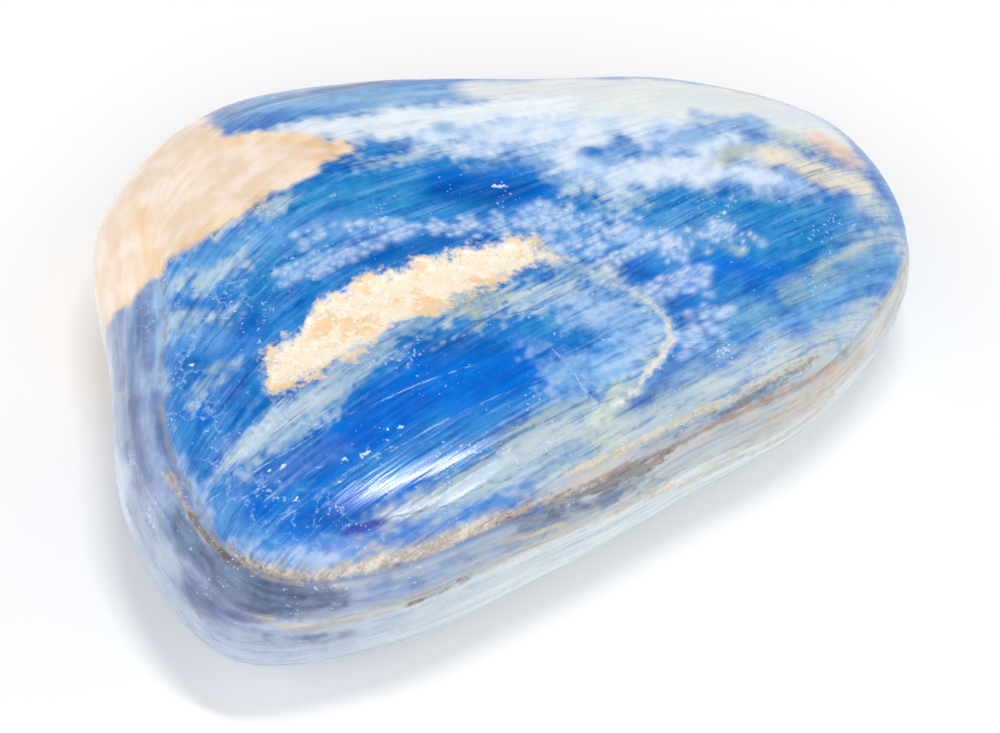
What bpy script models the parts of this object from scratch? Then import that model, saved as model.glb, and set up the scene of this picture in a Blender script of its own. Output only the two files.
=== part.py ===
"""A tumbled kyanite stone, modelled in metres with +Z up, resting on its flat underside.

The stone is a stack of thin mineral blades worn to a pebble. Seen from above it has a
lopsided outline, rounded at one end and broad at the other. Every upright cut through it is
a flattened oval. Two worn ledges run round its flank, where one blade ends on the next, and
the top carries a shallow pocket and the edge of a smaller blade that stands a little proud.
"""

import math

import bmesh
import bpy
import numpy as np

NODE = "kyanite_stone"
MM = 0.001

# All lengths below are in millimetres.
# Outline seen from above, counterclockwise from the narrow right end.
PLAN = (
    (12.1, -1.2),
    (15.2, 4.1),
    (12.9, 9.6),
    (7.0, 11.9),
    (0.8, 12.0),
    (-5.5, 11.9),
    (-11.6, 10.3),
    (-15.1, 5.2),
    (-14.4, -0.9),
    (-13.5, -6.9),
    (-9.8, -11.9),
    (-3.8, -11.1),
    (1.7, -8.2),
    (6.8, -4.9),
)
# Middle of the finished stone in the drawing's own coordinates.
MIDDLE = (-0.02, -0.04)

# Height of the widest level, and how far the form reaches above and below it.
WAIST = 4.8
RISE = 4.7
DROP = 4.95
# Highest and lowest points in plan.
CROWN = (1.5, -1.0)
FOOT = (-0.5, 0.5)
# Squareness of the upright oval: 2 is an ellipse, more is flatter with tighter shoulders.
SQUARE_TOP = 2.9
SQUARE_BOTTOM = 2.75

# Ledges round the flank: height over the middle, fall per millimetre along +X,
# depth of the worn groove, and how far the blade below steps in.
UPPER_LEDGE = (7.2, 0.07, 0.12, 0.09)
LOWER_LEDGE = (5.6, 0.10, 0.08, 0.05)
GROOVE_HALF_WIDTH = 0.28
BAND_HALF_WIDTH = 0.6
STEP_FADE = 1.8
# The ledges rise and fall a little on their way round.
WAVE_HEIGHT = 0.12
WAVE_LENGTH = 13.0

# Shallow pocket of pale grains on top, and the smaller blade beside it.
POCKET = (
    (-8.5, -4.2),
    (-8.4, -2.6),
    (-6.7, -0.4),
    (-4.1, 0.9),
    (-1.2, 1.95),
    (1.0, 2.2),
    (2.0, 1.4),
    (-0.8, 0.1),
    (-3.7, -1.55),
    (-6.5, -3.4),
)
POCKET_DEPTH = 0.14
TOP_BLADE = (
    (-10.2, -8.2),
    (-8.5, -5.65),
    (-5.4, -3.4),
    (-1.9, -1.0),
    (1.7, 0.7),
    (4.55, -0.1),
    (6.0, -1.9),
    (5.1, -3.6),
    (2.0, -5.7),
    (-2.2, -8.1),
    (-5.3, -10.0),
    (-8.6, -10.1),
)
TOP_BLADE_HEIGHT = 0.12
EDGE_SOFTNESS = 0.9
# Corner of quartz with no ledges in it. Its far points lie outside the stone.
QUARTZ = (
    (-12.8, 1.3),
    (-11.0, 2.7),
    (-9.6, 3.9),
    (-6.7, 5.7),
    (-5.7, 6.5),
    (-6.6, 7.3),
    (-9.7, 7.9),
    (-11.1, 8.8),
    (-13.5, 12.0),
    (-19.0, 10.0),
    (-19.0, -1.6),
    (-14.3, 0.4),
)

# Columns of faces round the stone, and rings between the stops on each column:
# crown, upper ledge (two stops), lower ledge (two stops), edge of the base, foot.
COLUMNS = 96
RINGS_BETWEEN = (18, 4, 3, 4, 12, 1)

# Colour in linear values, for the whole stone.
BLUE = (0.042, 0.20, 0.52, 1.0)
ROUGHNESS = 0.28
IOR = 1.72


def plan(t):
    """Outline points for t in 0..1, on a closed curve through the points of PLAN."""
    points = np.array(PLAN)
    count = len(points)
    place = np.mod(t, 1.0) * count
    first = np.floor(place).astype(int)
    f = (place - first)[:, None]
    a = points[(first - 1) % count]
    b = points[first % count]
    c = points[(first + 1) % count]
    d = points[(first + 2) % count]
    return b + 0.5 * f * (c - a + f * (2 * a - 5 * b + 4 * c - d + f * (3 * (b - c) + d - a)))


def smooth_form(t, phi):
    """Points of the stone without relief: phi runs from 0 at the crown to pi at the foot."""
    s = np.sin(phi)
    c = np.cos(phi)
    upper = c > 0
    power = np.where(upper, SQUARE_TOP, SQUARE_BOTTOM)
    reach = (np.abs(s) ** power + np.abs(c) ** power) ** (-1 / power)
    pole = np.where(upper[:, None], np.array(CROWN), np.array(FOOT))
    xy = pole + (reach * s)[:, None] * (plan(t) - pole)
    z = WAIST + np.where(upper, RISE, DROP) * reach * c
    return np.column_stack([xy, np.maximum(z, 0.0)])


def slope_along(t, phi):
    """How many millimetres the surface runs down a column for each radian of phi."""
    step = 0.002
    return np.linalg.norm(smooth_form(t, phi + step) - smooth_form(t, phi - step), axis=1) / (2 * step)


def ledge_angle(t, ledge):
    """Angle phi at which each column crosses a ledge, found by halving."""
    height, fall = ledge[:2]
    per_mm = 2 * math.pi / WAVE_LENGTH
    low = np.full(len(t), 0.3)
    high = np.full(len(t), 2.6)
    for _ in range(40):
        middle = (low + high) / 2
        point = smooth_form(t, middle)
        wave = WAVE_HEIGHT * np.sin(per_mm * (point[:, 0] + point[:, 1]))
        above = point[:, 2] > height - fall * point[:, 0] + wave
        low = np.where(above, middle, low)
        high = np.where(above, high, middle)
    return (low + high) / 2


def base_angle():
    """Angle phi at which the underside meets the flat base."""
    height = WAIST / DROP
    reach = (1 - height**SQUARE_BOTTOM) ** (1 / SQUARE_BOTTOM)
    return math.pi - math.atan2(reach, height)


def inside_distance(xy, outline):
    """Distance to a closed outline seen from above: positive inside it, negative outside."""
    nearest = np.full(len(xy), np.inf)
    crossings = np.zeros(len(xy), dtype=int)
    corners = np.array(outline)
    for a, b in zip(corners, np.roll(corners, -1, axis=0)):
        side = b - a
        along = np.clip((xy - a) @ side / (side @ side), 0, 1)
        nearest = np.minimum(nearest, np.linalg.norm(xy - a - along[:, None] * side, axis=1))
        spans = (a[1] > xy[:, 1]) != (b[1] > xy[:, 1])
        rise = side[1] if side[1] else 1e-9
        crossings += spans & (xy[:, 0] < a[0] + (xy[:, 1] - a[1]) * side[0] / rise)
    return np.where(crossings % 2 == 1, nearest, -nearest)


def soft_step(value, width):
    """Rises smoothly from 0 to 1 while the value runs from -width to +width."""
    f = np.clip(value / (2 * width) + 0.5, 0, 1)
    return f * f * (3 - 2 * f)


def ledge_relief(distance, ledge):
    """Groove and step of one ledge, at a distance in millimetres below its line."""
    depth, step = ledge[2:]
    groove = depth * np.exp(-((distance / GROOVE_HALF_WIDTH) ** 2))
    inset = step * soft_step(distance, GROOVE_HALF_WIDTH) * np.exp(-np.maximum(distance, 0) / STEP_FADE)
    return -groove - inset


def surface(t, phi, upper, lower):
    """Points of the worn stone, the smooth form moved along its own normal by the relief."""
    step = 0.002
    point = smooth_form(t, phi)
    around = smooth_form(t + step, phi) - smooth_form(t - step, phi)
    down = smooth_form(t, phi + step) - smooth_form(t, phi - step)
    normal = np.cross(down, around)
    normal /= np.maximum(np.linalg.norm(normal, axis=1, keepdims=True), 1e-9)
    scale = slope_along(t, phi)
    height = ledge_relief((phi - upper) * scale, UPPER_LEDGE)
    height += ledge_relief((phi - lower) * scale, LOWER_LEDGE)
    height *= soft_step(-inside_distance(point[:, :2], QUARTZ), EDGE_SOFTNESS)
    top = phi < upper
    pocket = soft_step(inside_distance(point[:, :2], POCKET), EDGE_SOFTNESS)
    blade = soft_step(inside_distance(point[:, :2], TOP_BLADE), EDGE_SOFTNESS)
    height += top * (TOP_BLADE_HEIGHT * blade - POCKET_DEPTH * pocket)
    height[point[:, 2] <= 0] = 0
    return point + normal * height[:, None]


def build_stone(collection):
    """A sphere's points moved ring by ring onto the stone's surface."""
    rings = sum(RINGS_BETWEEN)
    bm = bmesh.new()
    bmesh.ops.create_uvsphere(bm, u_segments=COLUMNS, v_segments=rings, radius=1.0)

    ball = np.array([vertex.co for vertex in bm.verts])
    t = np.round(np.arctan2(ball[:, 1], ball[:, 0]) / (2 * math.pi) * COLUMNS) / COLUMNS
    ring = np.round(np.arccos(np.clip(ball[:, 2], -1, 1)) / math.pi * rings)

    upper = ledge_angle(t, UPPER_LEDGE)
    lower = ledge_angle(t, LOWER_LEDGE)
    upper_band = BAND_HALF_WIDTH / slope_along(t, upper)
    lower_band = BAND_HALF_WIDTH / slope_along(t, lower)
    stops = np.column_stack(
        [
            np.zeros(len(t)),
            upper - upper_band,
            upper + upper_band,
            lower - lower_band,
            lower + lower_band,
            np.full(len(t), base_angle()),
            np.full(len(t), math.pi),
        ]
    )
    numbers = np.concatenate([[0], np.cumsum(RINGS_BETWEEN)])
    phi = np.array([np.interp(number, numbers, row) for number, row in zip(ring, stops)])

    points = surface(t, phi, upper, lower)
    points[:, :2] -= MIDDLE
    points[ball[:, 2] < -0.9999, :2] = np.array(FOOT) - MIDDLE
    points[ball[:, 2] > 0.9999] = (CROWN[0] - MIDDLE[0], CROWN[1] - MIDDLE[1], WAIST + RISE)
    for vertex, point in zip(bm.verts, points):
        vertex.co = point * MM
    bmesh.ops.recalc_face_normals(bm, faces=bm.faces)

    mesh = bpy.data.meshes.new(NODE)
    bm.to_mesh(mesh)
    bm.free()
    mesh.shade_smooth()
    stone = bpy.data.objects.new(NODE, mesh)
    collection.objects.link(stone)
    return stone


def stone_material():
    """Blue mineral with a soft polish."""
    material = bpy.data.materials.new("kyanite")
    material.use_nodes = True
    shader = material.node_tree.nodes["Principled BSDF"]
    shader.inputs["Base Color"].default_value = BLUE
    shader.inputs["Roughness"].default_value = ROUGHNESS
    shader.inputs["Metallic"].default_value = 0.0
    shader.inputs["IOR"].default_value = IOR
    return material


def main():
    for old in list(bpy.data.objects):
        bpy.data.objects.remove(old, do_unlink=True)
    collection = bpy.data.collections.new("tumbled_kyanite")
    bpy.context.scene.collection.children.link(collection)
    stone = build_stone(collection)
    stone.data.materials.append(stone_material())


main()
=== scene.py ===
# %% [markdown]
# # A tumbled kyanite stone
# Kyanite is a blue mineral that grows in flat blades. Tumbling has worn a stack of them to a
# polished pebble, with thin seams where one blade ends on the next, a pocket of cream grains
# and a corner of peach quartz. This lesson loads the plain solid as a fixed frame, builds the
# same stone again at a fine resolution, paints its soft colours on the mesh and its crisp marks
# in the material, wears it with a Geometry Nodes tree, and sets up a camera, floor and light to
# photograph it from above.

import math
from functools import partial

import bpy
import numpy as np
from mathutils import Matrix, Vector


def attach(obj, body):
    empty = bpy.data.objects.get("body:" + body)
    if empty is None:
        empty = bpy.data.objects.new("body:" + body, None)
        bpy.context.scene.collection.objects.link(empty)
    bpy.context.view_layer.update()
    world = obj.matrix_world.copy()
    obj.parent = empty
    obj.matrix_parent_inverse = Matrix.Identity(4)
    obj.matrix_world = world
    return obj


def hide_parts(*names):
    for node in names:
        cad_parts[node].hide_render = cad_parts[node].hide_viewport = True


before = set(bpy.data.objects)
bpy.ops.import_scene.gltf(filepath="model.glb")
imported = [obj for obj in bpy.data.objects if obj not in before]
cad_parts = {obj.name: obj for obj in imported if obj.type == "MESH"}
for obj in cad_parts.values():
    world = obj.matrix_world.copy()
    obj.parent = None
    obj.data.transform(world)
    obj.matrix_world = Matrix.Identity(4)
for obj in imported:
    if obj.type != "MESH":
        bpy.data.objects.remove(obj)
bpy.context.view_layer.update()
STONE = "kyanite_stone"
MM = 0.001

# %% [markdown]
# ## The form
# The solid's form follows a rule: a closed outline in plan, and a flattened oval for every
# upright cut. The same rule and the same values give the fine surface here, so it lies on the
# solid everywhere. Only the numbers of columns and rings differ.

# %% Outline and upright oval, in millimetres
# The outline runs counterclockwise from the narrow right end. The stone is widest at the waist,
# and rises to the crown and drops to the foot from there.
PLAN = (
    (12.1, -1.2),
    (15.2, 4.1),
    (12.9, 9.6),
    (7.0, 11.9),
    (0.8, 12.0),
    (-5.5, 11.9),
    (-11.6, 10.3),
    (-15.1, 5.2),
    (-14.4, -0.9),
    (-13.5, -6.9),
    (-9.8, -11.9),
    (-3.8, -11.1),
    (1.7, -8.2),
    (6.8, -4.9),
)
MIDDLE = (-0.02, -0.04)
WAIST = 4.8
RISE = 4.7
DROP = 4.95
CROWN = (1.5, -1.0)
FOOT = (-0.5, 0.5)
# Squareness of the upright oval: 2 is an ellipse, more is flatter with tighter shoulders.
SQUARE_TOP = 2.9
SQUARE_BOTTOM = 2.75
print("outline points:", len(PLAN))

# %% The two ledges
# Each ledge: height over the middle, fall per mm along +X, groove depth, step in below it.
UPPER_LEDGE = (7.2, 0.07, 0.12, 0.09)
LOWER_LEDGE = (5.6, 0.10, 0.08, 0.05)
GROOVE_HALF_WIDTH = 0.28
BAND_HALF_WIDTH = 0.6
STEP_FADE = 1.8
WAVE_HEIGHT = 0.12
WAVE_LENGTH = 13.0
print("ledges", UPPER_LEDGE[0], "and", LOWER_LEDGE[0], "mm up at the middle")

# %% The pocket of grains, the smaller blade on top and the quartz corner, in plan
POCKET = (
    (-8.5, -4.2),
    (-8.4, -2.6),
    (-6.7, -0.4),
    (-4.1, 0.9),
    (-1.2, 1.95),
    (1.0, 2.2),
    (2.0, 1.4),
    (-0.8, 0.1),
    (-3.7, -1.55),
    (-6.5, -3.4),
)
POCKET_DEPTH = 0.14
TOP_BLADE = (
    (-10.2, -8.2),
    (-8.5, -5.65),
    (-5.4, -3.4),
    (-1.9, -1.0),
    (1.7, 0.7),
    (4.55, -0.1),
    (6.0, -1.9),
    (5.1, -3.6),
    (2.0, -5.7),
    (-2.2, -8.1),
    (-5.3, -10.0),
    (-8.6, -10.1),
)
TOP_BLADE_HEIGHT = 0.12
EDGE_SOFTNESS = 0.9
# The quartz corner's far points lie outside the stone, so it wraps the flank. The ledges end
# at it.
QUARTZ = (
    (-12.8, 1.3),
    (-11.0, 2.7),
    (-9.6, 3.9),
    (-6.7, 5.7),
    (-5.7, 6.5),
    (-6.6, 7.3),
    (-9.7, 7.9),
    (-11.1, 8.8),
    (-13.5, 12.0),
    (-19.0, 10.0),
    (-19.0, -1.6),
    (-14.3, 0.4),
)
print("pocket", POCKET_DEPTH, "mm deep, smaller blade", TOP_BLADE_HEIGHT, "mm proud")

# %% How fine the mesh is
# The fine surface keeps this far inside the solid's, so that it never leaves the solid's box.
TUCK = 0.015
# Columns of faces round the stone, and rings between the stops on each column: crown, upper
# ledge (two stops), lower ledge (two stops), edge of the base, foot.
COLUMNS = 420
RINGS_BETWEEN = (118, 26, 12, 22, 44, 6)
# A small step in t or phi for slopes, and the angles between which every ledge lies.
SMALL_STEP = 0.002
LEDGE_ANGLES = (0.3, 2.6)
HALVINGS = 40
print(COLUMNS, "columns and", sum(RINGS_BETWEEN), "rings")


# %% The smooth form
def plan(t):
    """Outline points for t in 0..1, on a closed curve through the points of PLAN."""
    points = np.array(PLAN)
    count = len(points)
    place = np.mod(t, 1.0) * count
    first = np.floor(place).astype(int)
    f = (place - first)[:, None]
    a = points[(first - 1) % count]
    b = points[first % count]
    c = points[(first + 1) % count]
    d = points[(first + 2) % count]
    return b + 0.5 * f * (c - a + f * (2 * a - 5 * b + 4 * c - d + f * (3 * (b - c) + d - a)))


def smooth_form(t, phi):
    """Points of the stone without relief: phi runs from 0 at the crown to pi at the foot."""
    s = np.sin(phi)
    c = np.cos(phi)
    upper = c > 0
    power = np.where(upper, SQUARE_TOP, SQUARE_BOTTOM)
    reach = (np.abs(s) ** power + np.abs(c) ** power) ** (-1 / power)
    pole = np.where(upper[:, None], np.array(CROWN), np.array(FOOT))
    xy = pole + (reach * s)[:, None] * (plan(t) - pole)
    z = WAIST + np.where(upper, RISE, DROP) * reach * c
    return np.column_stack([xy, np.maximum(z, 0.0)])


print("smooth crown in mm:", smooth_form(np.zeros(1), np.zeros(1))[0].tolist())


# %% Where the ledges and the base run
def slope_along(t, phi):
    """How many millimetres the surface runs down a column for each radian of phi."""
    step = SMALL_STEP
    run = smooth_form(t, phi + step) - smooth_form(t, phi - step)
    return np.linalg.norm(run, axis=1) / (2 * step)


def ledge_angle(t, ledge):
    """Angle phi at which each column crosses a ledge, found by halving."""
    height, fall = ledge[:2]
    per_mm = 2 * math.pi / WAVE_LENGTH
    low, high = (np.full(len(t), angle) for angle in LEDGE_ANGLES)
    for _ in range(HALVINGS):
        middle = (low + high) / 2
        point = smooth_form(t, middle)
        wave = WAVE_HEIGHT * np.sin(per_mm * (point[:, 0] + point[:, 1]))
        above = point[:, 2] > height - fall * point[:, 0] + wave
        low = np.where(above, middle, low)
        high = np.where(above, high, middle)
    return (low + high) / 2


def base_angle():
    """Angle phi at which the underside meets the flat base."""
    height = WAIST / DROP
    reach = (1 - height**SQUARE_BOTTOM) ** (1 / SQUARE_BOTTOM)
    return math.pi - math.atan2(reach, height)


print("the base begins", round(math.degrees(base_angle())), "degrees from the crown")


# %% Distances and soft steps
def inside_distance(xy, outline):
    """Distance to a closed outline seen from above: positive inside it, negative outside."""
    nearest = np.full(len(xy), np.inf)
    crossings = np.zeros(len(xy), dtype=int)
    corners = np.array(outline)
    for a, b in zip(corners, np.roll(corners, -1, axis=0)):
        side = b - a
        along = np.clip((xy - a) @ side / (side @ side), 0, 1)
        nearest = np.minimum(nearest, np.linalg.norm(xy - a - along[:, None] * side, axis=1))
        spans = (a[1] > xy[:, 1]) != (b[1] > xy[:, 1])
        rise = side[1] if side[1] else 1e-9
        crossings += spans & (xy[:, 0] < a[0] + (xy[:, 1] - a[1]) * side[0] / rise)
    return np.where(crossings % 2 == 1, nearest, -nearest)


def soft_step(value, width):
    """Rises smoothly from 0 to 1 while the value runs from -width to +width."""
    f = np.clip(value / (2 * width) + 0.5, 0, 1)
    return f * f * (3 - 2 * f)


def ledge_relief(distance, ledge):
    """Groove and step of one ledge, at a distance in millimetres below its line."""
    depth, step = ledge[2:]
    groove = depth * np.exp(-((distance / GROOVE_HALF_WIDTH) ** 2))
    fade = np.exp(-np.maximum(distance, 0) / STEP_FADE)
    inset = step * soft_step(distance, GROOVE_HALF_WIDTH) * fade
    return -groove - inset


print("upper ledge at its line:", round(float(ledge_relief(0.0, UPPER_LEDGE)), 3), "mm")


# %% Rings that crowd at the ledges, and the faces between them
def ring_angles(t, ring, upper, lower):
    """Angle phi of each point: rings crowd together at the two ledges."""
    upper_band = BAND_HALF_WIDTH / slope_along(t, upper)
    lower_band = BAND_HALF_WIDTH / slope_along(t, lower)
    ends = [
        np.zeros(len(t)),
        upper - upper_band,
        upper + upper_band,
        lower - lower_band,
        lower + lower_band,
        np.full(len(t), base_angle()),
        np.full(len(t), math.pi),
    ]
    stops = np.column_stack(ends)
    first_rings = np.concatenate([[0], np.cumsum(RINGS_BETWEEN)])
    part = np.clip(np.searchsorted(first_rings, ring, side="right") - 1, 0, len(RINGS_BETWEEN) - 1)
    share = (ring - first_rings[part]) / np.array(RINGS_BETWEEN)[part]
    row = np.arange(len(t))
    return stops[row, part] * (1 - share) + stops[row, part + 1] * share


def skin_faces(rings):
    """Four-sided faces between the rings, and a fan of triangles at each pole."""
    a = np.arange(COLUMNS * (rings - 2)).reshape(rings - 2, COLUMNS)
    b = np.roll(a, -1, axis=1)
    quads = np.stack([a, a + COLUMNS, b + COLUMNS, b], axis=-1).reshape(-1, 4).tolist()
    top = COLUMNS * (rings - 1)
    last = top - COLUMNS
    fans = [(top, c, (c + 1) % COLUMNS) for c in range(COLUMNS)]
    fans += [(top + 1, last + (c + 1) % COLUMNS, last + c) for c in range(COLUMNS)]
    return quads + fans


print("faces to come:", COLUMNS * sum(RINGS_BETWEEN))


# %% The stone's fine mesh
def fine_stone():
    """The fine surface ring by ring: the mesh, its points, and what the colours need."""
    rings = sum(RINGS_BETWEEN)
    column, ring = np.meshgrid(np.arange(COLUMNS), np.arange(1, rings))
    column = np.append(column.ravel(), [0, 0])
    ring = np.append(ring.ravel(), [0, rings])
    t = column / COLUMNS
    each = np.arange(COLUMNS) / COLUMNS
    upper = ledge_angle(each, UPPER_LEDGE)[column]
    lower = ledge_angle(each, LOWER_LEDGE)[column]
    phi = ring_angles(t, ring, upper, lower)

    step = SMALL_STEP
    point = smooth_form(t, phi)
    around = smooth_form(t + step, phi) - smooth_form(t - step, phi)
    down = smooth_form(t, phi + step) - smooth_form(t, phi - step)
    normal = np.cross(down, around)
    normal /= np.maximum(np.linalg.norm(normal, axis=1, keepdims=True), 1e-9)
    scale = slope_along(t, phi)
    below_upper = (phi - upper) * scale
    below_lower = (phi - lower) * scale
    pocket = inside_distance(point[:, :2], POCKET)
    blade = inside_distance(point[:, :2], TOP_BLADE)
    quartz = inside_distance(point[:, :2], QUARTZ)
    ledges = ledge_relief(below_upper, UPPER_LEDGE) + ledge_relief(below_lower, LOWER_LEDGE)
    height = ledges * soft_step(-quartz, EDGE_SOFTNESS) - TUCK
    lift = TOP_BLADE_HEIGHT * soft_step(blade, EDGE_SOFTNESS)
    hollow = POCKET_DEPTH * soft_step(pocket, EDGE_SOFTNESS)
    height += (phi < upper) * (lift - hollow)
    height[point[:, 2] <= 0] = 0
    point = point + normal * height[:, None]
    point[-2] = (*CROWN, WAIST + RISE + TOP_BLADE_HEIGHT - TUCK)
    point[-1, :2] = FOOT
    mesh = bpy.data.meshes.new("kyanite_fine")
    mesh.from_pydata((point - (*MIDDLE, 0)) * MM, [], skin_faces(rings))
    mesh.shade_smooth()
    known = {
        "upper_seam": below_upper,
        "lower_seam": below_lower,
        "pocket": pocket,
        "top_blade": blade,
        "quartz": quartz,
    }
    return mesh, point, known


stone_mesh, points, fields = fine_stone()
stone = bpy.data.objects.new("polished_kyanite", stone_mesh)
bpy.context.scene.collection.objects.link(stone)
print("fine stone:", len(points), "points,", len(stone_mesh.polygons), "faces")

# %% [markdown]
# ## The camera
# The photograph looks down on the stone from about 56 degrees above the table, from close by.
# The camera comes before the colours, because the marks on the stone are read from places in
# the photograph and laid on the stone where the camera sees them.

# %% Camera at the photograph's angle
# The picture in pixels, then the distance, the aim and the sensor in millimetres.
PHOTO_SIZE = (1000, 733)
ELEVATION = math.radians(56.0)
PIXELS_PER_MM = 27.27
DISTANCE = 160.0
AIM = (-0.1 - MIDDLE[0], -0.2 - MIDDLE[1], 4.8)
SENSOR = 36.0

back = Vector((0, -math.cos(ELEVATION), math.sin(ELEVATION)))
up = Vector((0, math.sin(ELEVATION), math.cos(ELEVATION)))
eye = Vector(AIM) + DISTANCE * back
camera_data = bpy.data.cameras.new("photo_camera")
camera_data.sensor_width = SENSOR
camera_data.lens = PIXELS_PER_MM * DISTANCE * SENSOR / PHOTO_SIZE[0]
camera_data.clip_start = 0.01
camera_data.clip_end = 10.0
camera = bpy.data.objects.new("photo_camera", camera_data)
camera.location = eye * MM
camera.rotation_euler = (math.pi / 2 - ELEVATION, 0, 0)
bpy.context.scene.collection.objects.link(camera)
bpy.context.scene.camera = camera
print("lens in mm:", round(camera_data.lens, 1))


# %% From a place in the photograph to a place on the stone
bpy.context.view_layer.update()


def spot(x, y):
    """The place in mm on the stone that the photograph shows at pixel x, y."""
    right_px = x - PHOTO_SIZE[0] / 2
    down_px = y - PHOTO_SIZE[1] / 2
    depth = PIXELS_PER_MM * DISTANCE
    ray = Vector((1, 0, 0)) * right_px - up * down_px - back * depth
    found, place, _, _ = stone.ray_cast(eye * MM, ray.normalized())
    if not found:
        _, place, _, _ = stone.closest_point_on_mesh((eye + ray * (DISTANCE / depth)) * MM)
    return place / MM


middle = spot(PHOTO_SIZE[0] / 2, PHOTO_SIZE[1] / 2)
print("the photograph's middle shows, in mm:", [round(part, 1) for part in middle])

# %% [markdown]
# ## Where each colour lies
# The stone's colours are minerals and stains, each in its own places. A mark is a stroke: a
# chain of places in the photograph, each with half a width, all in its pixels. For every point
# of the mesh, a field holds how far inside the nearest stroke of one colour it lies, in
# millimetres. Fibres and grains then fray that distance before it is painted, so a soft field
# gives a natural edge.

# %% Blues of the top
BLUES = {
    "azure": (
        ((160, 300, 14), (190, 272, 22), (230, 250, 28), (290, 228, 20), (340, 216, 12)),
        ((165, 345, 10), (205, 335, 14), (245, 345, 8)),
        ((560, 240, 10), (600, 236, 12), (640, 246, 10)),
        ((700, 330, 10), (750, 325, 14), (800, 312, 12), (838, 292, 10)),
        ((225, 505, 8), (250, 530, 9), (290, 550, 8), (330, 552, 6)),
        ((640, 205, 8), (672, 218, 10), (660, 245, 12)),
    ),
    "teal": (
        ((235, 300, 12), (280, 270, 14), (320, 245, 14)),
        ((300, 205, 18), (360, 190, 24), (430, 184, 28), (500, 186, 30), (560, 196, 18)),
        ((640, 196, 14), (700, 204, 24), (760, 210, 24), (820, 214, 22)),
        ((720, 240, 16), (780, 240, 22), (830, 250, 20), (868, 262, 14)),
        ((370, 366, 6), (420, 344, 10), (470, 331, 12), (545, 318, 12)),
        ((835, 306, 9), (812, 318, 7)),
        ((545, 225, 12), (600, 214, 12)),
    ),
    "sea": (
        ((700, 345, 8), (760, 312, 14), (820, 288, 20), (862, 258, 26), (888, 240, 22)),
    ),
    "royal": (
        ((262, 512, 14), (320, 480, 18), (352, 438, 26), (400, 406, 38), (460, 374, 42)),
        ((460, 374, 42), (520, 362, 32), (556, 368, 16)),
        ((300, 520, 20), (345, 510, 24), (400, 498, 14)),
        ((420, 184, 8), (460, 182, 14), (500, 186, 20), (545, 192, 13)),
        ((690, 268, 14), (735, 268, 14), (780, 272, 10)),
        ((626, 270, 10), (660, 276, 10), (690, 300, 10)),
        ((188, 410, 7), (206, 425, 7)),
        ((255, 330, 8), (235, 350, 7)),
    ),
    "deep": (
        ((440, 190, 12), (490, 194, 20), (525, 190, 12)),
        ((350, 262, 8), (400, 258, 11), (430, 240, 7), (463, 228, 5)),
        ((607, 268, 8), (635, 272, 11), (655, 280, 7)),
        ((400, 340, 6), (455, 345, 12), (500, 350, 7)),
        ((240, 330, 5), (255, 318, 7)),
        ((315, 518, 10), (350, 520, 12), (380, 512, 6)),
    ),
    "violet": (
        ((250, 482, 10), (290, 464, 14), (325, 452, 12), (345, 446, 8)),
        ((205, 386, 10), (232, 390, 12), (248, 402, 8)),
        ((228, 440, 8), (215, 462, 8)),
        ((330, 553, 5), (372, 556, 5)),
        ((385, 548, 6), (430, 534, 10), (468, 518, 8), (512, 490, 5)),
    ),
    "sky_band": (
        ((222, 124, 8), (260, 108, 14), (300, 100, 20), (373, 98, 22), (440, 92, 18), (520, 86, 10)),
    ),
    "far_blue": (
        ((700, 117, 7), (730, 120, 10), (762, 125, 9)),
        ((664, 144, 5), (684, 139, 9), (706, 134, 6)),
        ((446, 130, 3), (480, 130, 4)),
    ),
    # Painted shadow: deep blue along the outer side of the small blade's scalloped end, where its raised
    # lip throws shade.
    "scallop_shadow": (
        ((672, 300, 4), (686, 318, 7), (690, 336, 8), (686, 354, 8), (668, 376, 7)),
        ((668, 376, 7), (652, 390, 6), (636, 404, 4)),
        ((694, 316, 6), (712, 334, 9), (706, 358, 7)),
    ),
}
print(len(BLUES), "blues")

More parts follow.
